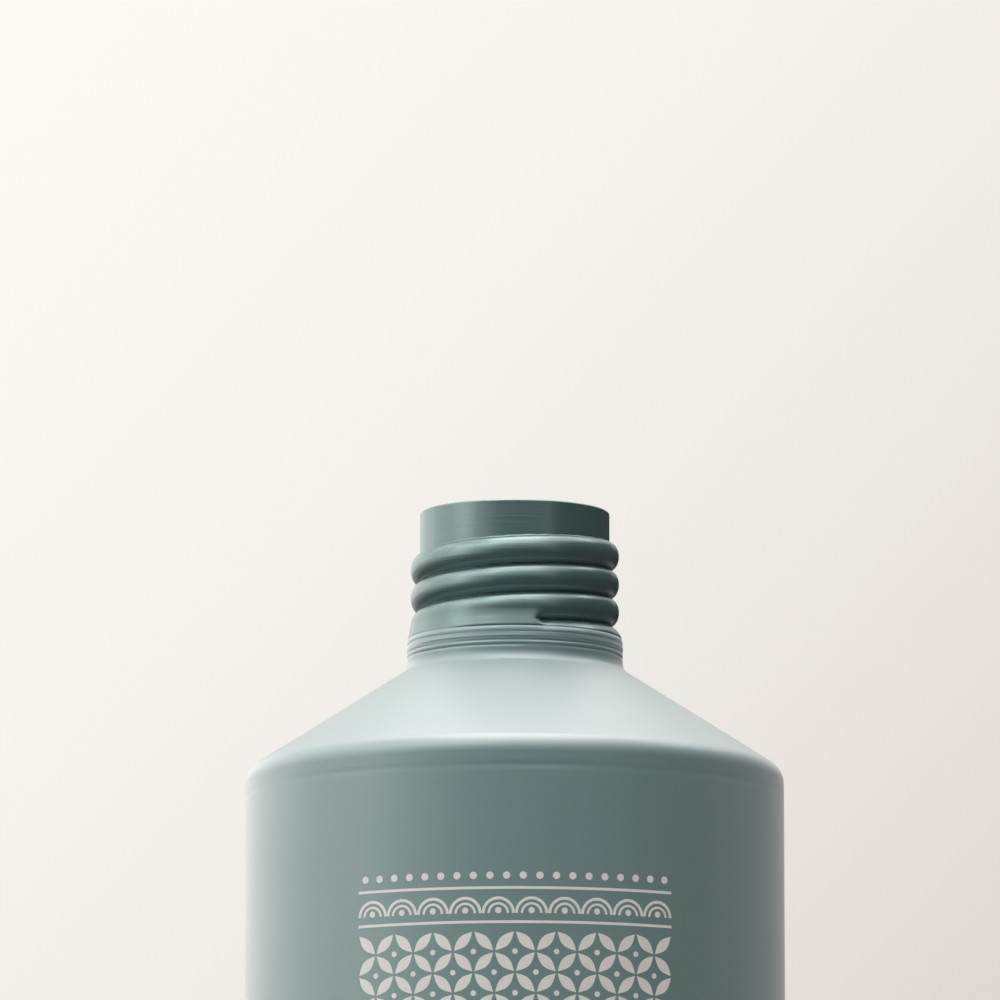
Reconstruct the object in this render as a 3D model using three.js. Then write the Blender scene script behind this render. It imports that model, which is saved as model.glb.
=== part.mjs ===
// An open aluminium bottle for hair conditioner, with its closure off. It is one piece of metal: a cup
// extruded from a slug, drawn in to a conical shoulder, and rolled to a 24 mm screw neck and a turned-in lip.
// Millimetres, +Z up, origin at the middle of the standing ring. The front of the bottle faces -Y.

import * as THREE from "three";
import { mergeVertices } from "three/addons/utils/BufferGeometryUtils.js";

// Overall sizes
const BODY_DIAMETER = 60;
const OVERALL_HEIGHT = 168;

// Sheet: the extruded floor stays thicker than the drawn side, shoulder and neck
const SIDE_WALL = 0.45;
const BASE_WALL = 1.0;

// Base: a flat standing ring round an inward dome
const HEEL_RADIUS = 4;
const RING_INSET = 6.5; // from the side of the body to the inner edge of the ring
const RING_EDGE_RADIUS = 1.5;
const DOME_DEPTH = 6;

// Shoulder: a cone between the body and the foot of the neck
const SHOULDER_HEIGHT = 11.5;
const SHOULDER_RADIUS = 2.4; // rounds the body into the shoulder
const NECK_FILLET = 1.5; // rounds the shoulder into the neck

// Neck, from the shoulder to the lip: a plain foot, the thread, and a plain band
const NECK_HEIGHT = 17.85;
const FOOT_HEIGHT = 2.75;
const FOOT_STEP = 0.4; // of the foot beyond the crests of the thread
const FOOT_FLARE = 2.8; // height over which the neck widens from the crests to the foot
const BAND_HEIGHT = 2.6;

// Thread: one right-hand groove rolled into the wall, so that it shows inside the neck as well
const THREAD_DIAMETER = 23.3; // over the crests
const THREAD_DEPTH = 1.05; // from the crests to the groove's floor, which is level with the band
const THREAD_PITCH = 3.175; // eight to the inch
const THREAD_START_ANGLE = THREE.MathUtils.degToRad(-79); // from +X, counter-clockwise from above
const GROOVE_FLOOR = 0.12; // flat width at the bottom of the groove
const CREST_POWER = 0.5; // roundness of a crest: 0.5 is an ellipse, 1 is a parabola
const RUN_IN_TURNS = 0.016; // over which the groove gets its depth
const RUN_OUT_TURNS = 0.2; // over which the top crest sinks into the band

// Lip: the edge of the sheet turned in and pressed down to a solid hem with a flat land on top
const HEM_WIDTH = 1.35;
const HEM_HEIGHT = 1.7;
const HEM_SLOPE_HEIGHT = 0.7; // from the hem's lower edge back to the wall of the neck
const LIP_OUTER_RADIUS = 0.2;
const LIP_INNER_RADIUS = 0.35;

// Facets
const SEGMENTS = 48; // round the axis
const CHORD_ERROR = 0.05; // largest gap between a rounding and its chords
const THREAD_ROW = 0.46; // height of a row of facets in the thread

// Finish of the lacquered metal
const LACQUER = { color: 0x6b8786, roughness: 0.38, metalness: 0.25 };

// Depths are measured down from the lip
const bodyRadius = BODY_DIAMETER / 2;
const crestRadius = THREAD_DIAMETER / 2;
const bandRadius = crestRadius - THREAD_DEPTH;
const footRadius = crestRadius + FOOT_STEP;
const neckBottom = OVERALL_HEIGHT - NECK_HEIGHT;
const footTopDepth = NECK_HEIGHT - FOOT_HEIGHT;
const crestHalfWidth = (THREAD_PITCH - GROOVE_FLOOR) / 2;
const firstCrestDepth = footTopDepth - THREAD_PITCH; // over the groove's start
const threadTurns = (firstCrestDepth - BAND_HEIGHT - crestHalfWidth) / THREAD_PITCH;

// Corners of the sheet's outer side, from the axis to the lip. wall is the thickness of the side that follows
// a corner. The neck is a plain tube here, as wide as its foot: rollNeck gives it its real shape.
function outerCorners() {
  const ringInner = bodyRadius - RING_INSET;
  const domeRadius = (ringInner ** 2 + DOME_DEPTH ** 2) / (2 * DOME_DEPTH);
  const domeCorner = domeRadius * (DOME_DEPTH / ringInner);
  return [
    { r: 0, z: DOME_DEPTH, round: 0, wall: BASE_WALL },
    { r: domeCorner, z: DOME_DEPTH, round: domeRadius - RING_EDGE_RADIUS, wall: BASE_WALL },
    { r: ringInner, z: 0, round: RING_EDGE_RADIUS, wall: BASE_WALL },
    { r: bodyRadius, z: 0, round: HEEL_RADIUS, wall: SIDE_WALL },
    { r: bodyRadius, z: neckBottom - SHOULDER_HEIGHT, round: SHOULDER_RADIUS, wall: SIDE_WALL },
    { r: footRadius, z: neckBottom, round: NECK_FILLET, wall: SIDE_WALL },
    { r: footRadius, z: OVERALL_HEIGHT, round: LIP_OUTER_RADIUS, wall: SIDE_WALL },
  ];
}

// The hem of the lip, from its land down to the inner side of the sheet.
function hemCorners() {
  const hemRadius = footRadius - HEM_WIDTH;
  const hemBottom = OVERALL_HEIGHT - HEM_HEIGHT;
  return [
    { r: hemRadius, z: OVERALL_HEIGHT, round: LIP_INNER_RADIUS },
    { r: hemRadius, z: hemBottom, round: LIP_INNER_RADIUS },
    { r: footRadius - SIDE_WALL, z: hemBottom - HEM_SLOPE_HEIGHT, round: 0 },
  ];
}

// Unit direction from one corner to another.
function direction(from, to) {
  return new THREE.Vector2(to.r - from.r, to.z - from.z).normalize();
}

// Corners of the sheet's inner side, from the lip to the axis: each outer side is moved in by its wall.
function innerCorners(outer) {
  const inner = [{ r: 0, z: outer[0].z + outer[0].wall, round: 0 }];
  for (let i = 1; i < outer.length - 1; i++) {
    const corner = outer[i];
    const wallBefore = outer[i - 1].wall;
    const before = direction(outer[i - 1], corner);
    const after = direction(corner, outer[i + 1]);
    const bend = before.cross(after);
    const thickest = Math.max(wallBefore, corner.wall);
    inner.push({
      r: corner.r + (after.x * wallBefore - before.x * corner.wall) / bend,
      z: corner.z + (after.y * wallBefore - before.y * corner.wall) / bend,
      round: corner.round - Math.sign(bend) * thickest,
    });
  }
  return inner.reverse();
}

// The corners as a line of points, with an arc for each rounding.
function roundedOutline(corners) {
  const points = corners.flatMap((corner, i) => {
    const at = new THREE.Vector2(corner.r, corner.z);
    if (corner.round === 0) return [at];
    const back = direction(corner, corners[i - 1]);
    const on = direction(corner, corners[i + 1]);
    const turn = Math.PI - back.angleTo(on);
    const start = at.clone().addScaledVector(back, corner.round * Math.tan(turn / 2));
    const middle = back.clone().add(on).normalize();
    const centre = at.addScaledVector(middle, corner.round / Math.cos(turn / 2));
    const steps = Math.ceil(turn / (2 * Math.acos(1 - CHORD_ERROR / corner.round)));
    const step = (Math.sign(on.cross(back)) * turn) / steps;
    return Array.from({ length: steps + 1 }, (_, k) => start.clone().rotateAround(centre, k * step));
  });
  return points.filter((point, i) => i === 0 || point.distanceTo(points[i - 1]) > 1e-6);
}

// The outline with rows of points at even heights through the thread.
function cutRows(points) {
  const top = OVERALL_HEIGHT - BAND_HEIGHT;
  const height = footTopDepth - BAND_HEIGHT;
  const count = Math.ceil(height / THREAD_ROW);
  const rows = Array.from({ length: count + 1 }, (_, k) => top - (height * k) / count);
  return points.flatMap((point, i) => {
    const next = points[i + 1] ?? point;
    const crossed = rows.filter((z) => (z - point.y) * (next.y - z) > 1e-9);
    const downward = next.y < point.y ? crossed : crossed.reverse();
    return [point, ...downward.map((z) => point.clone().lerp(next, (z - point.y) / (next.y - point.y)))];
  });
}

// Outer radius of the rolled neck. turn runs from 0 to 1 round the axis, from the groove's start. A crest is
// numbered by the turns it has made by then, and the groove that it stands on or under likewise.
function neckRadius(turn, depth) {
  const climbed = (firstCrestDepth - depth) / THREAD_PITCH - turn;
  const offset = climbed - Math.round(climbed);
  const crestTurns = turn + Math.round(climbed);
  const grooveTurns = offset < 0 ? crestTurns : crestTurns + 1;
  const crest = Math.max(0, 1 - ((offset * THREAD_PITCH) / crestHalfWidth) ** 2) ** CREST_POWER;
  const groove = (1 - crest) * THREE.MathUtils.smoothstep(grooveTurns, 0, RUN_IN_TURNS);
  const runOut = THREE.MathUtils.smoothstep(crestTurns, threadTurns - RUN_OUT_TURNS, threadTurns);
  const flare = THREE.MathUtils.smoothstep(depth, footTopDepth - FOOT_FLARE, footTopDepth);
  const stock = crestRadius + FOOT_STEP * flare;
  return bandRadius + (stock - bandRadius) * (1 - groove) * (1 - runOut);
}

// Moves both sides of the neck's wall, and the hem, from the plain tube to the rolled neck.
function rollNeck(geometry) {
  const position = geometry.getAttribute("position");
  const point = new THREE.Vector3();
  for (let i = 0; i < position.count; i++) {
    point.fromBufferAttribute(position, i);
    const depth = OVERALL_HEIGHT - point.z;
    if (depth >= footTopDepth) continue;
    const angle = Math.atan2(point.y, point.x) - THREAD_START_ANGLE;
    const turn = THREE.MathUtils.euclideanModulo(angle / (2 * Math.PI), 1);
    const radius = Math.hypot(point.x, point.y);
    const scale = (radius + neckRadius(turn, depth) - footRadius) / radius;
    position.setXYZ(i, point.x * scale, point.y * scale, point.z);
  }
}

// The sheet spun round the axis, with its seams and its two middle points joined up.
function spin(outline) {
  const lathe = new THREE.LatheGeometry(outline, SEGMENTS).rotateX(Math.PI / 2);
  lathe.deleteAttribute("normal");
  lathe.deleteAttribute("uv");
  const geometry = mergeVertices(lathe, 1e-5);
  const index = geometry.getIndex().array;
  const kept = [];
  for (let i = 0; i < index.length; i += 3) {
    const [a, b, c] = index.slice(i, i + 3);
    if (a !== b && b !== c && c !== a) kept.push(a, b, c);
  }
  geometry.setIndex(kept);
  return geometry;
}

const outer = outerCorners();
const outline = roundedOutline([...outer, ...hemCorners(), ...innerCorners(outer)]);
const shell = spin(cutRows(outline));
rollNeck(shell);
shell.computeVertexNormals();

const bottle = new THREE.Mesh(shell, new THREE.MeshStandardMaterial(LACQUER));
bottle.name = "bottle";

const part = new THREE.Group();
part.name = "conditioner_bottle";
part.add(bottle);

export default part;
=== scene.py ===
# The looks of an open aluminium bottle for hair conditioner: its lacquer, its print and a plain studio.
# Shapes are worked out in millimetres in the part's own frame, and stored in metres. The front faces -Y.

import math

import bmesh
import bpy
import numpy as np
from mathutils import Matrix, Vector


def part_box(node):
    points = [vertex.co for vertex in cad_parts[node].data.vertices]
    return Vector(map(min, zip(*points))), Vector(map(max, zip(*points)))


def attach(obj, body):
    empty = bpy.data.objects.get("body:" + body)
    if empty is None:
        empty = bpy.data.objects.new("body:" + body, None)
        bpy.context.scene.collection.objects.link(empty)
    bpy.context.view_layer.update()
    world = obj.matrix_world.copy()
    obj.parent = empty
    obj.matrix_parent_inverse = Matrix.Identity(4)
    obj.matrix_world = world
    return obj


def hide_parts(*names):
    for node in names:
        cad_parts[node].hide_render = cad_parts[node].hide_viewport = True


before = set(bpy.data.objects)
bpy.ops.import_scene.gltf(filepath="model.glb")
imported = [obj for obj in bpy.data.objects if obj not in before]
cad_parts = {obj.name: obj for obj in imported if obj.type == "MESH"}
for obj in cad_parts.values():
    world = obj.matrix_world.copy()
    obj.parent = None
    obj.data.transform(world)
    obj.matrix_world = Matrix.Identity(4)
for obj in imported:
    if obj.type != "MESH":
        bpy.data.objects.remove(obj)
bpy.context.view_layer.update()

MM = 0.001
MICRON = 0.000001
EPSILON = 1e-6  # a smaller step counts as none
CAD_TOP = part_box("bottle")[1] / MM

# Sizes of the bottle, as in the part's source. The lacquer lies a little inside the bottle's outline, and
# the print fills the difference.
PRINT_FILM = 0.015
OVERALL_HEIGHT = CAD_TOP.z
BODY_RADIUS = CAD_TOP.x - PRINT_FILM
SIDE_WALL = 0.45
BASE_WALL = 1.0
HEEL_RADIUS = 4.0
RING_INSET = 6.5
RING_EDGE_RADIUS = 1.5
DOME_DEPTH = 6.0
SHOULDER_HEIGHT = 11.5
SHOULDER_RADIUS = 2.4
NECK_FILLET = 1.5
NECK_HEIGHT = 17.85
FOOT_HEIGHT = 2.75
FOOT_STEP = 0.4
FOOT_FLARE = 2.8
BAND_HEIGHT = 2.6
CREST_RADIUS = 11.65
THREAD_DEPTH = 1.05
THREAD_PITCH = 3.175
THREAD_START_ANGLE = math.radians(-79.0)
GROOVE_FLOOR = 0.12
CREST_POWER = 0.5
RUN_IN_TURNS = 0.016
RUN_OUT_TURNS = 0.2
HEM_WIDTH = 1.35
HEM_HEIGHT = 1.7
HEM_SLOPE_HEIGHT = 0.7
LIP_OUTER_RADIUS = 0.2
LIP_INNER_RADIUS = 0.35

# Heights are measured up from the standing ring, and depths down from the lip
BAND_RADIUS = CREST_RADIUS - THREAD_DEPTH
FOOT_RADIUS = CREST_RADIUS + FOOT_STEP
NECK_BOTTOM = OVERALL_HEIGHT - NECK_HEIGHT
SHOULDER_EDGE = NECK_BOTTOM - SHOULDER_HEIGHT
FOOT_TOP_DEPTH = NECK_HEIGHT - FOOT_HEIGHT
CREST_HALF_WIDTH = (THREAD_PITCH - GROOVE_FLOOR) / 2
FIRST_CREST_DEPTH = FOOT_TOP_DEPTH - THREAD_PITCH
THREAD_TURNS = (FIRST_CREST_DEPTH - BAND_HEIGHT - CREST_HALF_WIDTH) / THREAD_PITCH

# Rings that the necking tools leave on the outside: height above the surface, depth, half width
SHOULDER_RING_DROP = 2.9  # of the lowest ring below the shoulder's edge
SHOULDER_RING_DEPTH = OVERALL_HEIGHT - SHOULDER_EDGE + SHOULDER_RING_DROP
TOOL_RINGS = [
    (-0.055, 14.35, 0.11),
    (0.022, 14.72, 0.15),
    (-0.030, 15.02, 0.08),
    (0.035, 15.45, 0.14),
    (-0.050, 15.95, 0.10),
    (0.022, 16.20, 0.09),
    (-0.060, 16.50, 0.11),
    (-0.020, SHOULDER_RING_DEPTH, 0.35),
]
RING_SWAY = 0.4  # share by which each wave swells and thins a ring
RING_WAVES = [(3, 7), (8, 31)]  # waves in a turn, and how far their phase shifts with the depth

LACQUER_FROM = 1.2  # height on the heel at which the lacquer begins; the metal below it is bare
NECK_FROM = 3.5  # height over the shoulder at which the burnished lacquer of the neck, whose darker colour is painted shade, begins

# Fineness of the bottle's surface
SEGMENTS = 208
ARC_STEP = math.radians(6)
MIN_ARC_STEPS = 4
OUTER_ROW = 0.1
FOOT_ROW = 0.06
INNER_ROW = 0.2
FINE_REACH = 1  # of the rows past the foot, and to both sides of the ring under the shoulder
GUARD = 0.15  # keeps the smooth shading of a rounding out of the straight stretch beside it
LONG_STRETCH = 10 * GUARD

# Print: a panel of geometric bands, of one colour of ink
PRINT_TOP = 124.1
PRINT_WIDTH = 36.0
PRINT_GAP = 0.8  # between one band and the next
RULE_WIDTH = 0.3
BOLD_LINE = 0.32
FINE_LINE = 0.26
BEAD_RADIUS = 0.34
SMALL_BEAD_RADIUS = 0.3
POINT_HALF_WIDTH = 0.01  # at which a pointed end is cut off
LEAF_POINTS = 13
DROP_POINTS = 21
CURVE_POINTS = 25
WAVE_POINTS = 181
UP = math.pi / 2
PRINT_STEP = 1.0  # length of the flat facets that follow the body's curve
PRINT_DEPTH = 0.02  # of the ink's hidden side below the lacquer
PRINT_HEIGHT = 0.9 * PRINT_FILM  # of the ink's face over the lacquer
SHARP_ANGLE = math.radians(40)

# Finishes: a pair is the two colours between which a surface varies
LACQUER_COLOURS = (0.103, 0.204, 0.202, 1), (0.115, 0.223, 0.221, 1)
# The neck's pair is darker than the lacquer's. This is painted shade on the lip band and in the creases of
# the thread.
NECK_COLOURS_WITH_PAINTED_SHADE = (0.042, 0.092, 0.089, 1), (0.049, 0.104, 0.100, 1)
NECK_TINT = (0.8, 1.0, 0.98, 1)
METAL_COLOURS = (0.70, 0.70, 0.70, 1), (0.80, 0.80, 0.81, 1)
LINING_COLOURS = (0.64, 0.61, 0.53, 1), (0.70, 0.67, 0.59, 1)
INK_COLOURS = (0.72, 0.735, 0.71, 1), (0.80, 0.815, 0.79, 1)
FLOOR_COLOURS = (0.43, 0.415, 0.40, 1), (0.46, 0.445, 0.43, 1)
CARD_COLOUR = (0.03, 0.03, 0.03, 1)
NOISE_RANGE = 0.3, 0.7  # where nearly all the values of a noise lie

# Sockets of a mix node for colours
MIX_FACTOR, MIX_A, MIX_B = 0, 6, 7
MIX_RESULT = 2

# Backdrop: light at the upper left and darker towards the lower right, by the parts of a view's direction
BACKDROP_LIGHT = (0.971, 0.947, 0.903, 1)
BACKDROP_SHADE = (0.730, 0.684, 0.660, 1)
BACKDROP_ACROSS = -0.0585, 0.0585
BACKDROP_DOWN = 0.104, 0.2195
BACKDROP_ACROSS_SHARE = 0.52
BACKDROP_POWER = 1.64
AMBIENT = (0.06, 0.06, 0.06, 1)

# Floor, in metres: half its side, and the distances between which it fades into the backdrop
FLOOR_HALF = 8.0
FLOOR_FADE = 0.15, 1.2

# Softboxes: their colours, and their distance from the shoulder in metres
WARM = (1.0, 0.88, 0.87)
WHITE = (1.0, 1.0, 1.0)
SOFTBOX_DISTANCE = 1.0

# Each softbox: azimuth from the front towards +X, elevation, width and height in metres, radiance, colour
SOFTBOXES = [
    ("zenith", 0, 90, (0.6, 0.6), 6.2, WARM),
    ("top_front", 0, 64, (0.9, 0.45), 2.4, WHITE),
    ("top_back", 180, 64, (0.9, 0.45), 2.2, WARM),
    ("top_left", -90, 62, (0.9, 0.5), 0.7, WARM),
    ("top_right", 90, 62, (0.9, 0.5), 1.2, WARM),
    ("front", 0, 48, (0.8, 0.25), 2.15, WHITE),
    ("high_left_front", -50, 42, (0.8, 0.4), 2.1, WHITE),
    ("high_left", -95, 42, (0.8, 0.4), 1.3, WHITE),
    ("high_left_back", -140, 42, (0.8, 0.4), 0.3, WHITE),
    ("high_right_back", 140, 42, (0.8, 0.4), 0.25, WHITE),
    ("high_right", 114, 46, (0.3, 0.25), 2.5, WHITE),
    ("high_right_front", 50, 42, (0.8, 0.4), 0.2, WHITE),
    ("low_left_front", -65, 16, (0.45, 0.45), 1.8, WHITE),
    ("low_left", -102, 16, (0.75, 0.45), 0.9, WHITE),
    ("low_left_back", -140, 16, (0.8, 0.45), 1.0, WHITE),
]

# Dark cards that only gloss sees, in metres. Upright: two ends of the foot, and a height. Low: two corners.
UPRIGHT_CARDS = [
    ("right_card", (0.5, -0.5), (0.5, 0.9), 0.62),
    ("back_card", (0.1, 1.0), (0.5, 0.9), 0.42),
    ("front_card", (-0.6, -1.1), (0.9, -1.1), 0.45),
]
LOW_CARDS = [
    ("low_card", (-0.9, -1.2), (0.9, -0.06)),
    ("low_left_card", (-0.9, -0.06), (-0.06, 0.5)),
    ("low_right_card", (0.06, -0.06), (0.9, 0.5)),
]
LOW_CARD_LEVEL = 0.004

# Camera
CAMERA_PLACE = Vector((0, -0.95, 0.0134))
CAMERA_TILT = math.radians(9.337)
CAMERA_TURN = math.radians(0.1003)
CAMERA_LENS = 309.15


# Bottle

def unit(vector):
    return vector / np.linalg.norm(vector)


def rounding(at, back, on, radius):
    """The points of a rounding of the corner at, where the outline comes from back and goes on to on."""
    back, on = unit(back - at), unit(on - at)
    turn = math.pi - math.acos(back @ on)
    centre = at + unit(back + on) * radius / math.cos(turn / 2)
    start = at + back * radius * math.tan(turn / 2) - centre
    way = np.sign(on[0] * back[1] - on[1] * back[0])
    steps = max(MIN_ARC_STEPS, math.ceil(turn / ARC_STEP))
    angles = way * turn * np.linspace(0, 1, steps + 1)
    return [centre + (start[0] * math.cos(a) - start[1] * math.sin(a),
                      start[0] * math.sin(a) + start[1] * math.cos(a)) for a in angles]


def rounded(corners):
    """The corners (r, z, rounding) as a list of points (r, z)."""
    points = []
    for i, (r, z, radius) in enumerate(corners):
        at = np.array((r, z), float)
        if radius == 0:
            points.append(at)
        else:
            back, on = (np.array(corners[j][:2], float) for j in (i - 1, i + 1))
            points += rounding(at, back, on, radius)
    return [p for i, p in enumerate(points) if i == 0 or np.linalg.norm(p - points[i - 1]) > EPSILON]


def outer_corners():
    """The outer side of the sheet from the axis to the lip, with the neck as a plain tube."""
    ring_inner = BODY_RADIUS - RING_INSET
    dome_radius = (ring_inner**2 + DOME_DEPTH**2) / (2 * DOME_DEPTH)
    return [
        (0, DOME_DEPTH, 0),
        (dome_radius * DOME_DEPTH / ring_inner, DOME_DEPTH, dome_radius - RING_EDGE_RADIUS),
        (ring_inner, 0, RING_EDGE_RADIUS),
        (BODY_RADIUS, 0, HEEL_RADIUS),
        (BODY_RADIUS, SHOULDER_EDGE, SHOULDER_RADIUS),
        (FOOT_RADIUS, NECK_BOTTOM, NECK_FILLET),
        (FOOT_RADIUS, OVERALL_HEIGHT, LIP_OUTER_RADIUS),
    ]


def hem_corners():
    """The turned-in hem of the lip, from its land down to the inner side of the sheet."""
    hem_radius = FOOT_RADIUS - HEM_WIDTH
    hem_bottom = OVERALL_HEIGHT - HEM_HEIGHT
    return [
        (hem_radius, OVERALL_HEIGHT, LIP_INNER_RADIUS),
        (hem_radius, hem_bottom, LIP_INNER_RADIUS),
        (FOOT_RADIUS - SIDE_WALL, hem_bottom - HEM_SLOPE_HEIGHT, 0),
    ]


def inner_corners(outer):
    """The inner side of the sheet from the lip to the axis: each outer side moved in by its wall."""
    walls = [BASE_WALL] * 3 + [SIDE_WALL] * 4
    inner = [(0, DOME_DEPTH + BASE_WALL, 0)]
    for i in range(1, len(outer) - 1):
        last, at, on = (np.array(outer[j][:2], float) for j in (i - 1, i, i + 1))
        before, after = unit(at - last), unit(on - at)
        bend = before[0] * after[1] - before[1] * after[0]
        r, z = at + (after * walls[i - 1] - before * walls[i]) / bend
        inner.append((r, z, outer[i][2] - np.sign(bend) * max(walls[i - 1], walls[i])))
    return inner[::-1]


def with_rows(points, heights):
    """The outline with a point at each of the heights, and one close to each end of a long stretch."""
    rows = []
    for a, b in zip(points[:-1], points[1:]):
        length = np.linalg.norm(b - a)
        cuts = {0.0}
        if length > LONG_STRETCH:
            cuts |= {GUARD / length, 1 - GUARD / length}
        cuts |= {(z - a[1]) / (b[1] - a[1]) for z in heights if (z - a[1]) * (b[1] - z) > EPSILON}
        rows += [a + (b - a) * t for t in sorted(cuts)]
    return rows + [points[-1]]


def smoothstep(x, low, high):
    t = np.clip((x - low) / (high - low), 0, 1)
    return t * t * (3 - 2 * t)


def neck_radius(turn, depth):
    """Outer radius of the rolled neck at a part turn from the groove's start and a depth below the lip."""
    climbed = (FIRST_CREST_DEPTH - depth) / THREAD_PITCH - turn
    offset = climbed - np.round(climbed)
    crest_turns = turn + np.round(climbed)
    groove_turns = np.where(offset < 0, crest_turns, crest_turns + 1)
    crest = np.maximum(0, 1 - (offset * THREAD_PITCH / CREST_HALF_WIDTH) ** 2) ** CREST_POWER
    groove = (1 - crest) * smoothstep(groove_turns, 0, RUN_IN_TURNS)
    run_out = smoothstep(crest_turns, THREAD_TURNS - RUN_OUT_TURNS, THREAD_TURNS)
    flare = smoothstep(depth, FOOT_TOP_DEPTH - FOOT_FLARE, FOOT_TOP_DEPTH)
    stock = CREST_RADIUS + FOOT_STEP * flare
    return BAND_RADIUS + (stock - BAND_RADIUS) * (1 - groove) * (1 - run_out)


def bottle_rows():
    """The sheet's outline as rows (r, z), from the axis over the lip and back, and the lip's row number."""
    outer = outer_corners()
    outline = rounded(outer + hem_corners() + inner_corners(outer))
    lip = max(range(len(outline)), key=lambda i: outline[i][1])
    neck = NECK_BOTTOM + NECK_FILLET / 2
    foot = OVERALL_HEIGHT - FOOT_TOP_DEPTH + FINE_REACH
    ring = OVERALL_HEIGHT - SHOULDER_RING_DEPTH
    outer_heights = [
        *np.arange(ring - FINE_REACH, ring + FINE_REACH, OUTER_ROW),
        *np.arange(neck, foot, FOOT_ROW),
        *np.arange(foot, OVERALL_HEIGHT, OUTER_ROW),
    ]
    inner_heights = np.arange(OVERALL_HEIGHT - FOOT_TOP_DEPTH, OVERALL_HEIGHT, INNER_ROW)
    outside = with_rows(outline[:lip + 1], outer_heights)
    inside = with_rows(outline[lip:], inner_heights)
    return np.array(outside + inside[1:]), len(outside) - 1


def first_row(rows, wanted):
    """The number of the first row that is wanted, by its number, radius and height."""
    return next(i for i, (r, z) in enumerate(rows) if wanted(i, r, z))


def bottle_mesh():
    """The rows spun round the axis, with the neck rolled. Slots by row: bare metal, lacquer, neck, lining."""
    rows, lip = bottle_rows()
    r, z = rows[1:-1, :1], rows[1:-1, 1:]
    angle = np.linspace(0, 2 * math.pi, SEGMENTS, endpoint=False)
    turn = (angle - THREAD_START_ANGLE) / (2 * math.pi) % 1
    depth = OVERALL_HEIGHT - z
    radius = r + np.where(depth < FOOT_TOP_DEPTH, neck_radius(turn, depth) - FOOT_RADIUS, 0)
    for height, level, half in TOOL_RINGS:
        swell = sum(np.sin(count * angle + shift * level) for count, shift in RING_WAVES)
        ring = height * (1 + RING_SWAY * swell) * np.exp(-(((depth - level) / half) ** 2))
        radius[:lip] += ring[:lip]
    grid = np.stack([radius * np.cos(angle), radius * np.sin(angle), z + 0 * radius], axis=2)
    grid = grid.reshape(-1, 3)
    points = np.vstack([grid, (0, 0, rows[0, 1]), (0, 0, rows[-1, 1])])

    count = len(r)
    low, high = len(grid), len(grid) + 1
    number = np.arange(count * SEGMENTS).reshape(count, SEGMENTS)
    beside = np.roll(number, -1, axis=1)
    quads = np.stack([number[:-1], beside[:-1], beside[1:], number[1:]], axis=2)
    faces = [(low, b, a) for a, b in zip(number[0], beside[0])]
    faces += quads.reshape(-1, 4).tolist()
    faces += [(high, a, b) for a, b in zip(number[-1], beside[-1])]

    hem_bottom = OVERALL_HEIGHT - HEM_HEIGHT + EPSILON
    lacquer = first_row(rows, lambda i, r, z: r > BODY_RADIUS - HEEL_RADIUS and z > LACQUER_FROM)
    neck = first_row(rows, lambda i, r, z: z > NECK_BOTTOM + NECK_FROM)
    lining = first_row(rows, lambda i, r, z: i > lip and z < hem_bottom)
    starts = [0, lacquer, neck, lining, count + 1]
    slots = np.repeat(np.repeat(range(4), np.diff(starts)), SEGMENTS)

    mesh = bpy.data.meshes.new("bottle_skin")
    mesh.from_pydata((points * MM).tolist(), [], faces)
    mesh.polygons.foreach_set("material_index", slots)
    mesh.shade_smooth()
    return mesh


# Print. A shape is a ribbon in the flat: its left edge, its right edge, and whether its ends join.

def stroke(points, width, closed=False):
    """A line of even width, with mitred corners."""
    points = np.array(points, float)
    edges = np.roll(points, -1, axis=0) - points
    lengths = np.linalg.norm(edges, axis=1, keepdims=True)
    across = np.stack([-edges[:, 1], edges[:, 0]], axis=1) / lengths
    if not closed:
        across[-1] = across[-2]
    before = np.roll(across, 1, axis=0)
    if not closed:
        before[0] = across[0]
    mitre = (before + across) / (1 + np.sum(before * across, axis=1, keepdims=True))
    return points + mitre * width / 2, points - mitre * width / 2, closed


def spindle(at, length, half_widths, angle):
    """A solid shape with a half width at each of even steps along its length."""
    along = np.linspace(-length / 2, length / 2, len(half_widths))
    half = np.maximum(half_widths, POINT_HALF_WIDTH)
    way = np.array((math.cos(angle), math.sin(angle)))
    side = np.array((-way[1], way[0]))
    middle = np.array(at, float) + along[:, None] * way
    return middle + half[:, None] * side, middle - half[:, None] * side, False


def leaf(at, length, width, angle):
    bulge = np.sin(math.pi * np.linspace(0, 1, LEAF_POINTS))
    return spindle(at, length, width / 2 * bulge, angle)


def drop(at, length, width, angle):
    """A drop whose round end lies in the direction of the angle."""
    t = np.linspace(0, 1, DROP_POINTS)
    bulge = t**1.5 * np.sqrt(1 - t)
    return spindle(at, length, width / 2 * bulge / bulge.max(), angle)


def disc(at, radius):
    bulge = np.sqrt(1 - np.linspace(-1, 1, CURVE_POINTS) ** 2)
    return spindle(at, 2 * radius, radius * bulge, 0)


def wedge(at, length, width, angle):
    """A triangle whose point lies in the direction of the angle."""
    return spindle(at, length, width / 2 * np.array((1, 0)), angle)


def arch(at, radius, width):
    """A line along the upper half of a circle."""
    angles = np.radians(np.linspace(0, 180, CURVE_POINTS))
    circle = np.stack([np.cos(angles), np.sin(angles)], axis=1)
    return stroke(np.array(at) + radius * circle, width)


def places(count):
    """Even places across the panel, and the pitch between them."""
    pitch = PRINT_WIDTH / count
    return (np.arange(count) - (count - 1) / 2) * pitch, pitch


# The bands of the panel: each gives its shapes from its top and its height.

def rule(top, height):
    level = top - height / 2
    return [stroke([(-PRINT_WIDTH / 2, level), (PRINT_WIDTH / 2, level)], height)]


def beads(top, height):
    return [disc((u, top - height / 2), height / 2) for u in places(20)[0]]


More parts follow.
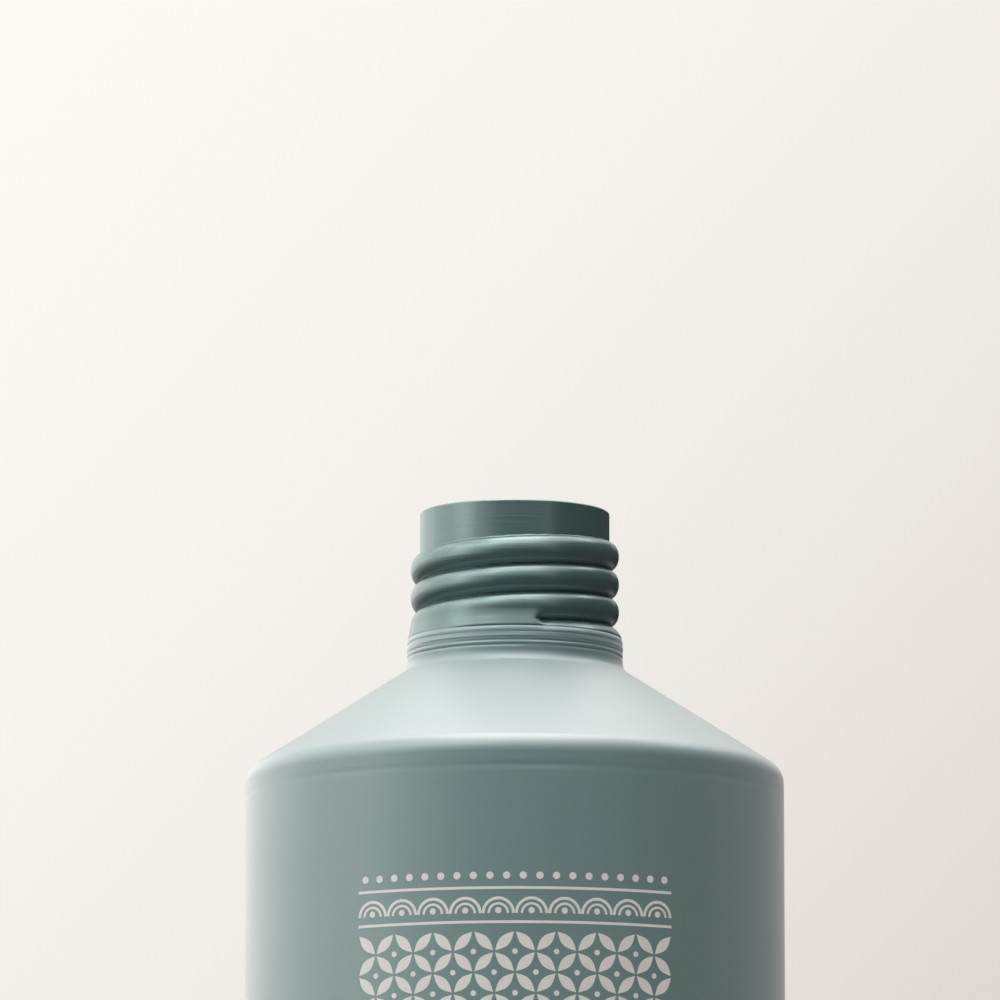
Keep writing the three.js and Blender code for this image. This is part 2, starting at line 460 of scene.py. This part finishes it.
def scallops(top, height):
    """A double arch over a bead, side by side."""
    across, pitch = places(10)
    foot = top - height
    shapes = []
    for u in across:
        shapes.append(arch((u, foot), radius=0.455 * pitch, width=BOLD_LINE))
        shapes.append(arch((u, foot), radius=0.29 * pitch, width=FINE_LINE))
        shapes.append(disc((u, foot + 0.3), BEAD_RADIUS))
    return shapes


def lattice(top, height):
    """Leaves that close to circles, with a bead in every circle."""
    across, pitch = places(16)
    rows = round(height / pitch)
    shapes = []
    for row in range(rows):
        for column, u in enumerate(across):
            slant = math.radians(45 if (row + column) % 2 else -45)
            middle = (u, top - (row + 0.5) * pitch)
            shapes.append(leaf(middle, length=1.26 * pitch, width=0.5 * pitch, angle=slant))
    for row in range(1, rows):
        for column in range(1, len(across)):
            if (row + column) % 2:
                middle = (across[column] - pitch / 2, top - row * pitch)
                shapes.append(disc(middle, SMALL_BEAD_RADIUS))
    return shapes


def waves(top, height):
    """Three lines that rise and fall together."""
    swell, length, margin = 0.5, 3.6, 0.65
    along = np.linspace(-PRINT_WIDTH / 2, PRINT_WIDTH / 2, WAVE_POINTS)
    rise = swell * np.cos(2 * math.pi * along / length)
    levels = np.linspace(top - margin, top - height + margin, 3)
    return [stroke(np.stack([along, level + rise], axis=1), RULE_WIDTH) for level in levels]


def diamonds(top, height):
    """Outlined diamonds with a solid one in each."""
    across, pitch = places(8)
    half_width, half_height = 0.44 * pitch, height / 2 - 0.2
    corners = np.array([(half_width, 0), (0, half_height), (-half_width, 0), (0, -half_height)])
    core = 0.23 * pitch * np.array((0, 1, 0))
    shapes = []
    for u in across:
        middle = np.array((u, top - height / 2))
        shapes.append(stroke(middle + corners, BOLD_LINE, closed=True))
        shapes.append(spindle(middle, height / 2, core, UP))
    return shapes


def drops(top, height):
    """Drops that point up and down by turns."""
    across = places(18)[0]
    middle = top - height / 2
    return [drop((u, middle), height, width=1.15, angle=(UP, -UP)[k % 2]) for k, u in enumerate(across)]


def suns(top, height):
    """Half suns: an arch over a bead, with leaves for rays."""
    foot = top - height
    shapes = []
    for u in places(6)[0]:
        middle = np.array((u, foot))
        shapes.append(arch(middle, radius=1.0, width=BOLD_LINE))
        shapes.append(disc((u, foot + 0.32), BEAD_RADIUS))
        for angle in np.radians(np.linspace(6, 174, 9)):
            ray = np.array((math.cos(angle), math.sin(angle)))
            shapes.append(leaf(middle + 1.95 * ray, length=1.1, width=0.36, angle=angle))
    return shapes


def wedges(top, height):
    return [wedge((u, top - height / 2), height, width=1.6, angle=UP) for u in places(18)[0]]


def panel_shapes():
    """The bands from the top of the panel down, each with its height."""
    line = (rule, RULE_WIDTH)
    bands = [
        (beads, 0.8), line, (scallops, 1.8), line, (lattice, 9.0), line, (waves, 3.2), line,
        (diamonds, 4.6), line, (drops, 2.7), line, (suns, 2.6), line, (wedges, 1.7), line, (beads, 0.8),
    ]
    shapes = []
    top = PRINT_TOP
    for band, height in bands:
        shapes += band(top, height)
        top -= height + PRINT_GAP
    return shapes


def add_ribbon(form, left, right, closed):
    """A closed flat solid between two edges. Its thickness is set when it is wrapped round the body."""
    corners = [[form.verts.new((u, v, w)) for u, v in edge] for w in (0, 1) for edge in (left, right)]
    under_left, under_right, over_left, over_right = corners
    count = len(left)
    for i in range(count if closed else count - 1):
        j = (i + 1) % count
        form.faces.new((over_left[i], over_right[i], over_right[j], over_left[j]))
        form.faces.new((under_left[j], under_right[j], under_right[i], under_left[i]))
        form.faces.new((over_left[j], under_left[j], under_left[i], over_left[i]))
        form.faces.new((over_right[i], under_right[i], under_right[j], over_right[j]))
    if not closed:
        form.faces.new((over_left[0], under_left[0], under_right[0], over_right[0]))
        form.faces.new((over_right[-1], under_right[-1], under_left[-1], over_left[-1]))


def print_mesh():
    """The panel as thin solids of ink, wrapped round the front of the body."""
    form = bmesh.new()
    for shape in panel_shapes():
        add_ribbon(form, *shape)
    for u in np.arange(-PRINT_WIDTH / 2 + PRINT_STEP, PRINT_WIDTH / 2, PRINT_STEP):
        everything = form.verts[:] + form.edges[:] + form.faces[:]
        bmesh.ops.bisect_plane(form, geom=everything, plane_co=(u, 0, 0), plane_no=(1, 0, 0), dist=1e-4)
    low, high = BODY_RADIUS - PRINT_DEPTH, BODY_RADIUS + PRINT_HEIGHT
    for vert in form.verts:
        u, v, w = vert.co
        radius = low + (high - low) * w
        angle = u / BODY_RADIUS
        vert.co = Vector((radius * math.sin(angle), -radius * math.cos(angle), v)) * MM
    bmesh.ops.recalc_face_normals(form, faces=form.faces)
    mesh = bpy.data.meshes.new("print")
    form.to_mesh(mesh)
    form.free()
    mesh.shade_smooth()
    mesh.set_sharp_from_angle(angle=SHARP_ANGLE)
    return mesh


# Finishes

def node(tree, kind, inputs=None, **settings):
    """A node with its settings, and its inputs by name or number: a value, or a socket to link."""
    made = tree.nodes.new(kind)
    for key, value in settings.items():
        setattr(made, key, value)
    for key, value in (inputs or {}).items():
        if isinstance(value, bpy.types.NodeSocket):
            tree.links.new(value, made.inputs[key])
        else:
            made.inputs[key].default_value = value
    return made


def object_place(tree):
    return node(tree, "ShaderNodeTexCoord").outputs["Object"]


def noise(tree, place, scale, detail=2.0):
    inputs = {"Vector": place, "Scale": scale, "Detail": detail}
    return node(tree, "ShaderNodeTexNoise", inputs).outputs["Fac"]


def stretched(tree, place, scale):
    return node(tree, "ShaderNodeMapping", {"Vector": place, "Scale": scale}).outputs[0]


def length_of(tree, vector):
    return node(tree, "ShaderNodeVectorMath", {0: vector}, operation="LENGTH").outputs["Value"]


def ranged(tree, value, low, high, to_low, to_high):
    inputs = {"Value": value, "From Min": low, "From Max": high, "To Min": to_low, "To Max": to_high}
    return node(tree, "ShaderNodeMapRange", inputs).outputs["Result"]


def uneven(tree, value, low, high):
    """A roughness that follows a noise between two values."""
    return ranged(tree, value, *NOISE_RANGE, low, high)


def maths(tree, operation, a, b):
    return node(tree, "ShaderNodeMath", {0: a, 1: b}, operation=operation).outputs[0]


def mixed(tree, factor, colours):
    inputs = {MIX_FACTOR: factor, MIX_A: colours[0], MIX_B: colours[1]}
    return node(tree, "ShaderNodeMix", inputs, data_type="RGBA").outputs[MIX_RESULT]


def new_material(name, **values):
    """A material with its shader's values set, its tree and its shader."""
    material = bpy.data.materials.new(name)
    material.use_nodes = True
    tree = material.node_tree
    shader = tree.nodes["Principled BSDF"]
    for key, value in values.items():
        shader.inputs[key.replace("_", " ")].default_value = value
    return material, tree, shader


def dress(tree, shader, colour, roughness, height, depth):
    """Links what varies over the surface to its shader. The depth of the bump is in metres."""
    bump = node(tree, "ShaderNodeBump", {"Strength": 1.0, "Distance": depth, "Height": height})
    tree.links.new(colour, shader.inputs["Base Color"])
    tree.links.new(roughness, shader.inputs["Roughness"])
    tree.links.new(bump.outputs[0], shader.inputs["Normal"])


def lacquer_material():
    """Matt lacquer: a slow drift of its gloss and a fine grain."""
    material, tree, shader = new_material(
        "matt_lacquer", Specular_IOR_Level=1.0, Coat_Weight=1.0, Coat_Roughness=0.4,
        Sheen_Weight=0.5, Sheen_Roughness=0.5,
    )
    place = object_place(tree)
    drift = noise(tree, place, scale=70)
    grain = noise(tree, place, scale=2400)
    colour = mixed(tree, grain, LACQUER_COLOURS)
    dress(tree, shader, colour, uneven(tree, drift, 0.47, 0.53), grain, 5 * MICRON)
    return material


def neck_material():
    """The same lacquer where the rolling of the neck has burnished it, with fine lines round the axis. Its
    gloss is its own, but its darker colour is painted shade: it stands in for the shade on the lip band and
    in the creases of the thread.
    """
    material, tree, shader = new_material(
        "burnished_lacquer_with_painted_shade", IOR=1.72, Specular_IOR_Level=1.0, Specular_Tint=NECK_TINT,
    )
    place = object_place(tree)
    lines = noise(tree, stretched(tree, place, (30, 30, 5200)), scale=1.0, detail=3.0)
    grain = noise(tree, place, scale=2400)
    # The darker colour of the neck is painted shade.
    colour = mixed(tree, lines, NECK_COLOURS_WITH_PAINTED_SHADE)
    dress(tree, shader, colour, uneven(tree, grain, 0.285, 0.34), lines, 12 * MICRON)
    return material


def metal_material():
    """Bare aluminium with fine turning marks round the axis."""
    material, tree, shader = new_material("bare_aluminium", Metallic=1.0)
    place = object_place(tree)
    flat = node(tree, "ShaderNodeVectorMath", {0: place, 1: (1, 1, 0)}, operation="MULTIPLY").outputs[0]
    inputs = {"W": length_of(tree, flat), "Scale": 2600, "Detail": 3}
    marks = node(tree, "ShaderNodeTexNoise", inputs, noise_dimensions="1D").outputs["Fac"]
    blotches = noise(tree, place, scale=400)
    colour = mixed(tree, marks, METAL_COLOURS)
    dress(tree, shader, colour, uneven(tree, blotches, 0.3, 0.42), marks, 20 * MICRON)
    return material


def lining_material():
    """Clear lining over drawn aluminium, with drawing lines up the wall."""
    material, tree, shader = new_material(
        "lined_aluminium", Metallic=0.8, Coat_Weight=0.5, Coat_Roughness=0.3,
    )
    place = object_place(tree)
    lines = noise(tree, stretched(tree, place, (1500, 1500, 25)), scale=1.0, detail=3.0)
    colour = mixed(tree, noise(tree, place, scale=120), LINING_COLOURS)
    dress(tree, shader, colour, uneven(tree, lines, 0.38, 0.48), lines, 10 * MICRON)
    return material


def ink_material():
    """Screen-printed ink, a little uneven in its cover."""
    material, tree, shader = new_material("ink", Specular_IOR_Level=0.5)
    place = object_place(tree)
    cover = noise(tree, place, scale=900, detail=4.0)
    grain = noise(tree, place, scale=4000)
    colour = mixed(tree, cover, INK_COLOURS)
    dress(tree, shader, colour, uneven(tree, grain, 0.42, 0.52), grain, 6 * MICRON)
    return material


# Studio

def seen(tree):
    """One for what the camera, gloss and glass see, and nought for the light that falls on the object."""
    path = node(tree, "ShaderNodeLightPath").outputs
    direct = maths(tree, "MAXIMUM", path["Is Camera Ray"], path["Is Glossy Ray"])
    return maths(tree, "MAXIMUM", direct, path["Is Transmission Ray"])


def set_world():
    """A pale backdrop to look at, and a little even light."""
    world = bpy.data.worlds.new("studio")
    bpy.context.scene.world = world
    world.use_nodes = True
    tree = world.node_tree
    view = node(tree, "ShaderNodeTexCoord").outputs["Generated"]
    way = node(tree, "ShaderNodeSeparateXYZ", {0: view}).outputs
    across = ranged(tree, way["X"], *BACKDROP_ACROSS, 0.0, BACKDROP_ACROSS_SHARE)
    down = ranged(tree, way["Z"], *BACKDROP_DOWN, 1 - BACKDROP_ACROSS_SHARE, 0.0)
    shade = maths(tree, "POWER", maths(tree, "ADD", across, down), BACKDROP_POWER)
    colour = mixed(tree, shade, (BACKDROP_LIGHT, BACKDROP_SHADE))
    shown = mixed(tree, seen(tree), (AMBIENT, colour))
    tree.links.new(shown, tree.nodes["Background"].inputs["Color"])


def softbox(name, azimuth, elevation, size, radiance, colour):
    """A lamp that shines at the shoulder, and that the camera doesn't see."""
    lamp = bpy.data.lights.new(name, "AREA")
    lamp.shape = "RECTANGLE"
    lamp.size, lamp.size_y = size
    lamp.energy = radiance * math.pi * size[0] * size[1]
    lamp.color = colour
    piece = bpy.data.objects.new(name, lamp)
    bpy.context.collection.objects.link(piece)
    a, e = math.radians(azimuth), math.radians(elevation)
    way = Vector((math.cos(e) * math.sin(a), -math.cos(e) * math.cos(a), math.sin(e)))
    piece.location = Vector((0, 0, SHOULDER_EDGE * MM)) + way * SOFTBOX_DISTANCE
    piece.rotation_euler = way.to_track_quat("Z", "Y").to_euler()
    piece.visible_camera = False


def sheet(name, corners, material):
    """A flat piece with four corners, in metres."""
    mesh = bpy.data.meshes.new(name)
    mesh.from_pydata(corners, [], [(0, 1, 2, 3)])
    mesh.materials.append(material)
    piece = bpy.data.objects.new(name, mesh)
    bpy.context.collection.objects.link(piece)
    return piece


def card(name, corners):
    """A dark card that only gloss sees."""
    material = new_material(name, Base_Color=CARD_COLOUR, Roughness=0.9)[0]
    piece = sheet(name, corners, material)
    piece.visible_camera = False
    piece.visible_diffuse = False
    piece.visible_shadow = False


def add_cards():
    for name, a, b, height in UPRIGHT_CARDS:
        card(name, [(*a, 0), (*b, 0), (*b, height), (*a, height)])
    for name, (x0, y0), (x1, y1) in LOW_CARDS:
        card(name, [(x, y, LOW_CARD_LEVEL) for x, y in ((x0, y0), (x1, y0), (x1, y1), (x0, y1))])


def add_floor():
    """A pale floor that runs out into the backdrop far from the bottle."""
    material, tree, shader = new_material("floor", Roughness=0.8, Specular_IOR_Level=0.2)
    place = object_place(tree)
    colour = mixed(tree, noise(tree, place, scale=3), FLOOR_COLOURS)
    tree.links.new(colour, shader.inputs["Base Color"])
    far = ranged(tree, length_of(tree, place), *FLOOR_FADE, 0.0, 1.0)
    glow = node(tree, "ShaderNodeEmission", {"Color": BACKDROP_SHADE, "Strength": 1.0}).outputs[0]
    shown = maths(tree, "MULTIPLY", far, seen(tree))
    ground = node(tree, "ShaderNodeMixShader", {0: shown, 1: shader.outputs[0], 2: glow}).outputs[0]
    tree.links.new(ground, tree.nodes["Material Output"].inputs["Surface"])
    signs = (-1, -1), (1, -1), (1, 1), (-1, 1)
    floor = sheet("floor", [(x * FLOOR_HALF, y * FLOOR_HALF, 0) for x, y in signs], material)


def add_camera():
    camera = bpy.data.objects.new("camera", bpy.data.cameras.new("camera"))
    bpy.context.collection.objects.link(camera)
    camera.location = CAMERA_PLACE
    camera.rotation_euler = (math.pi / 2 + CAMERA_TILT, 0, CAMERA_TURN)
    camera.data.lens = CAMERA_LENS
    bpy.context.scene.camera = camera


def add_piece(name, mesh, materials):
    piece = bpy.data.objects.new(name, mesh)
    for material in materials:
        mesh.materials.append(material)
    bpy.context.collection.objects.link(piece)
    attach(piece, "root")
    return piece


add_camera()
finishes = [metal_material(), lacquer_material(), neck_material(), lining_material()]
skin = add_piece("bottle_skin", bottle_mesh(), finishes)
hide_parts("bottle")
add_piece("print", print_mesh(), [ink_material()])

set_world()
add_floor()
for name, *values in SOFTBOXES:
    softbox(name + "_softbox", *values)
add_cards()

bpy.context.scene.view_settings.view_transform = "Standard"
